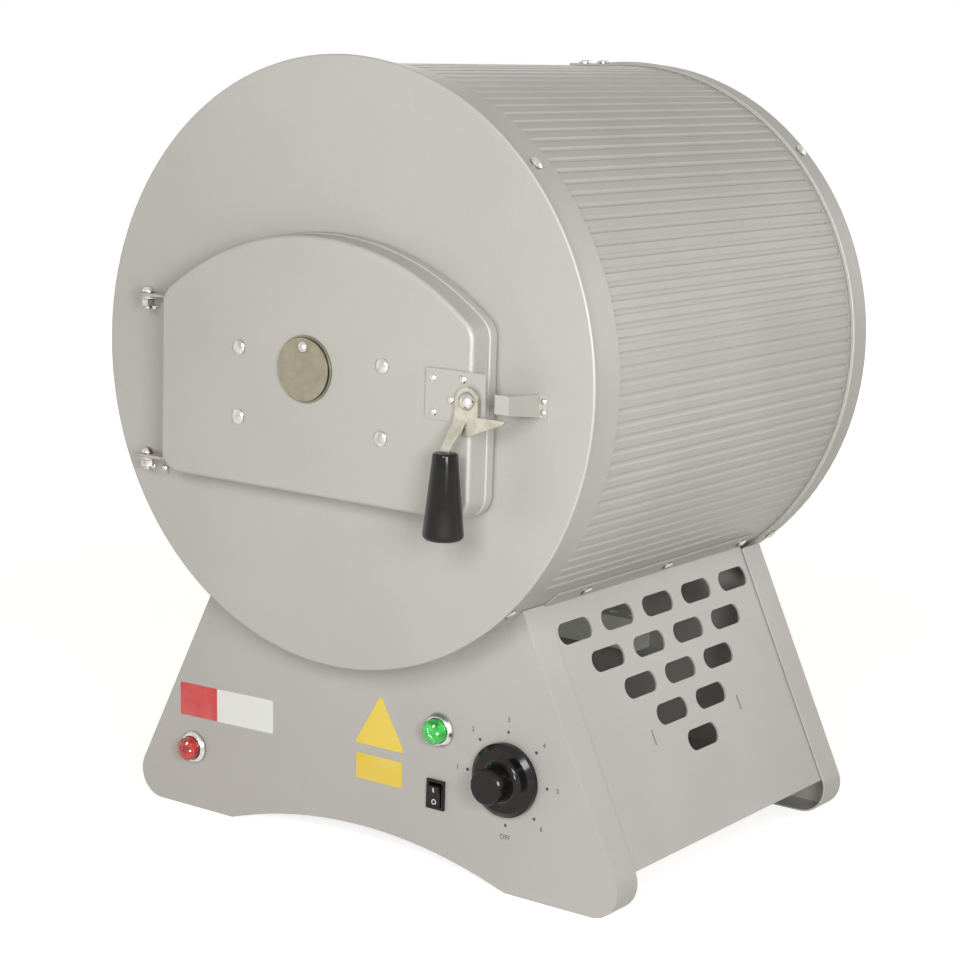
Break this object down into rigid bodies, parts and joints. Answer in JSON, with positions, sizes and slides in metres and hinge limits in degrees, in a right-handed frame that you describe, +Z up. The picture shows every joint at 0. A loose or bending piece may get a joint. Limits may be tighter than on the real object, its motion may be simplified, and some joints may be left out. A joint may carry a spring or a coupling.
{
  "type": "muffle furnace",
  "caption": "Round-drum bench muffle furnace on a flared sheet base, with a hinged arched door, lever latch, peephole cover, dial, rocker switch and two lamps.",
  "frame": {"origin": "centre of the overall box on the surface that the feet stand on", "axes": "+X to the right of someone who faces the door, +Y from the door to the back, +Z up"},
  "size_m": [0.4222, 0.4388, 0.555],
  "materials": {
    "casing_paint": "satin",
    "wrap_paint": "satin",
    "bright_zinc": "polished",
    "lever_zinc": "satin",
    "cover_steel": "satin",
    "fibre": "matte",
    "muffle_ceramic": "matte",
    "white_ceramic": "satin",
    "heating_alloy": "matte",
    "black_plastic": "gloss",
    "grey_plastic": "matte",
    "bezel_metal": "satin",
    "red_lens": "gloss",
    "green_lens": "gloss"
  },
  "bodies": {
    "casing": {"front_cap": "casing_paint", "rear_cap": "casing_paint", "drum_wrap": "wrap_paint", "top_strap": "casing_paint", "strap_screws": "bright_zinc", "cap_screws": "bright_zinc", "base_front_panel": "casing_paint", "base_rear_panel": "casing_paint", "base_side_right": "casing_paint", "base_side_left": "casing_paint", "side_screws": "bright_zinc", "base_floor": "casing_paint", "front_collar": "fibre", "insulation_body": "fibre", "rear_board": "fibre", "muffle": "muffle_ceramic", "heating_coil": "heating_alloy", "coil_leads": "white_ceramic", "thermocouple": "white_ceramic", "terminal_block": "white_ceramic", "hinge_brackets": "casing_paint", "hinge_bolts": "bright_zinc", "bracket_rivets": "bright_zinc", "keeper": "casing_paint", "keeper_rivets": "bright_zinc", "lamp_bezels": "bezel_metal", "red_lens": "red_lens", "green_lens": "green_lens", "lamp_bodies": "grey_plastic", "switch_body": "black_plastic", "regulator_body": "grey_plastic", "cable_gland": "grey_plastic"},
    "door": {"door_pan": "casing_paint", "door_back_plate": "casing_paint", "door_insulation": "fibre", "door_seal": "fibre", "door_screws": "bright_zinc", "door_hinge_leaves": "casing_paint", "peephole_tube": "cover_steel", "peephole_screw": "bright_zinc", "latch_plate": "casing_paint", "latch_rivets": "bright_zinc", "latch_pivot": "bright_zinc"},
    "latch": {"latch_lever": "lever_zinc", "latch_grip": "black_plastic"},
    "peephole_cover": {"peephole_cover": "cover_steel"},
    "knob": {"regulator_shaft": "bright_zinc", "regulator_knob": "black_plastic"},
    "rocker": {"switch_rocker": "black_plastic"}
  },
  "joints": [
    {"name": "door_swing", "type": "hinge", "parent": "casing", "child": "door", "pos_m": [-0.155, -0.17615, 0.35], "axis": [0, 0, -1], "range_deg": [0, 120]},
    {"name": "latch_turn", "type": "hinge", "parent": "door", "child": "latch", "pos_m": [0.132, -0.19415, 0.346], "axis": [0, 1, 0], "range_deg": [-15, 45]},
    {"name": "peephole_swing", "type": "hinge", "parent": "door", "child": "peephole_cover", "pos_m": [-0.003, -0.19165, 0.366], "axis": [0, 1, 0], "range_deg": [-120, 120]},
    {"name": "knob_turn", "type": "hinge", "parent": "casing", "child": "knob", "pos_m": [0.121, -0.11965, 0.0805], "axis": [0, 1, 0], "range_deg": [-45, 270]},
    {"name": "switch_rock", "type": "hinge", "parent": "casing", "child": "rocker", "pos_m": [0.063, -0.11815, 0.0575], "axis": [1, 0, 0], "range_deg": [-14, 0]}
  ]
}
